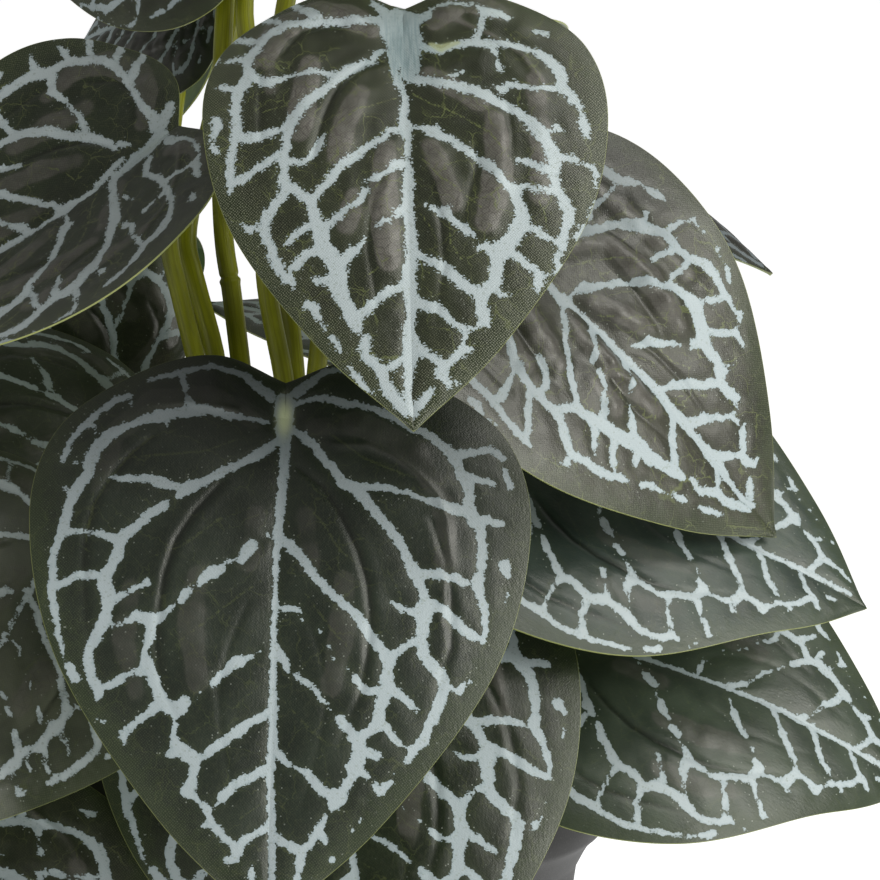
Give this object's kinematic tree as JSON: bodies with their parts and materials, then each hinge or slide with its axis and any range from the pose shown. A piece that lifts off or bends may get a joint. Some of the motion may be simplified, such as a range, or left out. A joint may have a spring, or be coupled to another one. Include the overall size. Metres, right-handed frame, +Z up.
{
  "type": "potted plant",
  "caption": "Artificial potted foliage plant: heart-shaped dark blades with pale printed veins on long bare petioles, in a plain round tapered pot with faux soil.",
  "frame": {"origin": "middle of the pot's flat base, on the surface that it stands on", "axes": "+Z up along the pot's axis; -Y towards the side that the picture shows; +X to its right"},
  "size_m": [0.3324, 0.3401, 0.4778],
  "materials": {
    "blade": "woven, printed, satin",
    "petiole": "moulded, satin",
    "pot": "matte",
    "fill": "rough"
  },
  "bodies": {
    "root": {"blade_front_low": "blade", "petiole_front_low": "petiole", "blade_front_high": "blade", "petiole_front_high": "petiole", "blade_right_high": "blade", "petiole_right_high": "petiole", "blade_right_middle": "blade", "petiole_right_middle": "petiole", "blade_right_low": "blade", "petiole_right_low": "petiole", "blade_front_under": "blade", "petiole_front_under": "petiole", "blade_left_high": "blade", "petiole_left_high": "petiole", "blade_left_middle": "blade", "petiole_left_middle": "petiole", "blade_left_low": "blade", "petiole_left_low": "petiole", "blade_left_foot": "blade", "petiole_left_foot": "petiole", "blade_left_rear": "blade", "petiole_left_rear": "petiole", "blade_top_left": "blade", "petiole_top_left": "petiole", "blade_top_left_rear": "blade", "petiole_top_left_rear": "petiole", "blade_rear_high": "blade", "petiole_rear_high": "petiole", "blade_rear_left": "blade", "petiole_rear_left": "petiole", "blade_rear_level": "blade", "petiole_rear_level": "petiole", "blade_right_rear": "blade", "petiole_right_rear": "petiole", "blade_top_rear": "blade", "petiole_top_rear": "petiole", "blade_top_front": "blade", "petiole_top_front": "petiole", "blade_back_right": "blade", "petiole_back_right": "petiole", "blade_back_middle": "blade", "petiole_back_middle": "petiole", "blade_back_left": "blade", "petiole_back_left": "petiole", "blade_back_high": "blade", "petiole_back_high": "petiole", "pot": "pot", "fill": "fill"}
  },
  "joints": []
}
